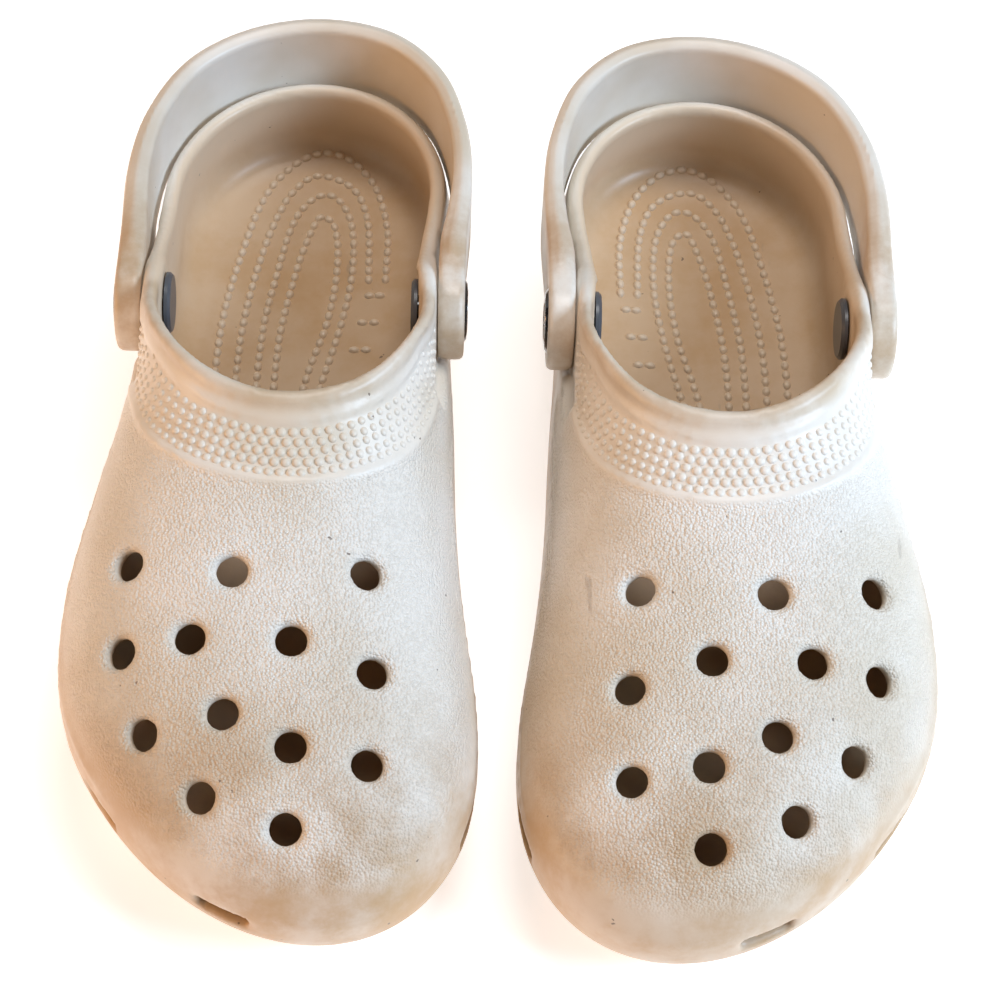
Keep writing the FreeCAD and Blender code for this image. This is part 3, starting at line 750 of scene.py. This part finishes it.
def grey_stud():
    """Grey plastic of the studs, a little cloudy."""
    mat, nodes, links, shader = material("stud_grey", (0.19, 0.20, 0.22), 0.35)
    coord = nodes.new("ShaderNodeTexCoord").outputs["Object"]
    bumped(nodes, links, shader, noise(nodes, links, coord, 1000), 0.00004, 0.5)
    tone = mix_color(nodes, links, noise(nodes, links, coord, 120), (0.05, 0.055, 0.065), (0.11, 0.115, 0.13))
    links.new(tone, shader.inputs["Base Color"])
    return mat


foam_mat = foam("moulded_foam", True)
band_mat = foam("strap_foam", False)
cap_mat, _ = plastic("cap_gloss", (0.012, 0.012, 0.014), 0.16, 0.6, (1400, 0.00002, 0.4), (300, 0.1, 2.2))
metal_mat, silver = plastic("badge_silver", (0.62, 0.62, 0.63), 0.3, 0.5, (1800, 0.00002, 0.5), (500, -0.2, 2.0))
silver.inputs["Metallic"].default_value = 1.0
stud_mat = grey_stud()

# ---------------------------------------------------------------- materials, pairing, bodies and hiding the CAD parts
for obj in (right_body, right_dots, right_nubs):
    obj.data.materials.append(foam_mat)
right_strap.data.materials.append(band_mat)
for name, on_dots, on_nubs in (("inner", 0, 1), ("height", 0.7, 0.7), ("toe", 0, 0), ("deep", 0, 0),
                               ("lip", 0, 0), ("grain", 0, 0)):
    mask(right_dots, name, np.full(len(right_dots.data.vertices), on_dots))
    mask(right_nubs, name, np.full(len(right_nubs.data.vertices), on_nubs))
body_pair = pair(right_body, "clog")
dots_pair = pair(right_dots, "clog") + pair(right_nubs, "clog")
strap_pair = pair(right_strap, "strap")
for obj, node in zip(body_pair, ("right_clog_body", "left_clog_body")):
    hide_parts(node)
for obj, node in zip(strap_pair, ("right_heel_strap", "left_heel_strap")):
    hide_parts(node)


# ---------------------------------------------------------------- rivet faces
DISC_RADIUS = 6.75
FACE_DEPTH = 0.75                # from the badge's face down to the disc


def rosette(base, face):
    """Six low petals round a centre dome, standing on the disc."""
    sides, layers = 20, 4
    verts, faces = [], []
    for k in range(7):
        turn = math.pi * k / 3
        away, long, wide = (0, 1.0, 1.0) if k == 6 else (2.75, 1.55, 0.8)
        first = len(verts)
        for layer in range(layers):
            shrink, tall = math.cos(layer * 0.5), 0.55 * math.sin(layer * 0.5)
            for j in range(sides):
                a = 2 * math.pi * j / sides
                out, across = away + long * shrink * math.cos(a), wide * shrink * math.sin(a)
                verts.append((base + (0.15 + tall) * face,
                              out * math.cos(turn) - across * math.sin(turn),
                              out * math.sin(turn) + across * math.cos(turn)))
        for i in range(layers - 1):
            for j in range(sides):
                b, c = first + sides * i + j, first + sides * i + (j + 1) % sides
                faces.append((b, c, c + sides, b + sides))
        faces.append(tuple(range(first + (layers - 1) * sides, first + layers * sides)))
    return verts, faces


def rivet_face(side, where):
    """A silver ring round a black disc with a small six-petalled rosette, in place of one badge."""
    low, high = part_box(f"{side}_{where}_rivet_badge")
    face = 1 if (side == "right") == (where == "medial") else -1
    middle = np.array([(low[k] + high[k]) / 2 for k in range(3)]) / MM
    flat = (high[0] if face > 0 else low[0]) / MM
    base = flat - FACE_DEPTH * face
    disc = turned([(base - 0.2 * face, 0.01), (base - 0.2 * face, DISC_RADIUS),
                   (base + 0.25 * face, DISC_RADIUS), (base + 0.3 * face, 0.01)])
    ring = turned([(base, DISC_RADIUS), (flat - 0.15 * face, DISC_RADIUS), (flat, 6.3), (flat, 5.7),
                   (flat - 0.25 * face, 5.25), (base, 5.2)])
    for label, (verts, faces), mat in (("disc", disc, cap_mat), ("ring", ring, metal_mat),
                                       ("rosette", rosette(base, face), metal_mat)):
        obj = piece(f"{side}_{where}_badge_{label}", np.array(verts, float) + [0, middle[1], middle[2]], faces)
        obj.data.materials.append(mat)
        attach(obj, f"{side}_strap")
        if label == "ring":
            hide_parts(f"{side}_{where}_rivet_badge")


for side in ("right", "left"):
    for where in ("medial", "lateral"):
        rivet_face(side, where)
# the frame's own caps, badges and studs take their materials
for name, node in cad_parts.items():
    for key, mat in (("cap", cap_mat), ("badge", metal_mat), ("stud", stud_mat)):
        if name.endswith(key):
            node.data.materials.clear()
            node.data.materials.append(mat)
            for polygon in node.data.polygons:
                polygon.material_index = 0

# ---------------------------------------------------------------- floor, light and camera
bpy.ops.mesh.primitive_plane_add(size=6, location=(0, 0, -0.0005))
floor = bpy.context.object
floor.name = "floor"
floor_mat, nodes, links, shader = material("floor_pale", (0.92, 0.92, 0.92), 0.8, 0.1)
shader.inputs["Emission Color"].default_value = (1, 1, 1, 1)
shader.inputs["Emission Strength"].default_value = 0.6
floor.data.materials.append(floor_mat)


def area_light(name, place, aim, width, power, color):
    light = bpy.data.lights.new(name, "AREA")
    light.shape, light.size, light.size_y = "RECTANGLE", width, width * 0.8
    light.energy, light.color = power, color
    obj = bpy.data.objects.new(name, light)
    obj.location = place
    obj.rotation_euler = (Vector(aim) - Vector(place)).to_track_quat("-Z", "Y").to_euler()
    bpy.context.scene.collection.objects.link(obj)


area_light("key", (0.95, -0.35, 0.75), (0, -0.02, 0.03), 0.5, 14.5, (0.60, 0.78, 1.0))
area_light("fill", (-0.95, -0.35, 0.35), (0, 0, 0.03), 0.6, 5.0, (1.0, 0.52, 0.20))
area_light("top", (0.1, 0.25, 1.2), (0, 0, 0.03), 0.45, 6, (0.97, 0.96, 0.95))
world = bpy.data.worlds.new("studio")
world.use_nodes = True
world.node_tree.nodes["Background"].inputs["Color"].default_value = (1.0, 0.90, 0.78, 1)
world.node_tree.nodes["Background"].inputs["Strength"].default_value = 0.17
bpy.context.scene.world = world
bpy.context.scene.view_settings.view_transform = "Standard"

TARGET = (-0.38, -8.68, 40)      # what the camera looks at, before the shift in y
DISTANCE = 687.32                # from it, in millimetres
SENSOR = 36
FOCAL = 2.51532                  # focal length over sensor width
azimuth, elevation, roll = math.radians(-1.93), math.radians(54.47), math.radians(3.06)
target = Vector((TARGET[0], TARGET[1] + SHIFT + STAGGER / 2, TARGET[2])) * MM
level = math.cos(elevation)
back = Vector((math.sin(azimuth) * level, -math.cos(azimuth) * level, math.sin(elevation)))
flat = Vector((math.cos(azimuth), math.sin(azimuth), 0))
up = back.cross(flat)
across = math.cos(roll) * flat + math.sin(roll) * up
upward = -math.sin(roll) * flat + math.cos(roll) * up
camera = bpy.data.objects.new("camera", bpy.data.cameras.new("camera"))
camera.data.sensor_width = SENSOR
camera.data.lens = SENSOR * FOCAL
turn = Matrix((across, upward, back)).transposed()
camera.matrix_world = Matrix.Translation(target + back * DISTANCE * MM) @ turn.to_4x4()
bpy.context.scene.collection.objects.link(camera)
bpy.context.scene.camera = camera
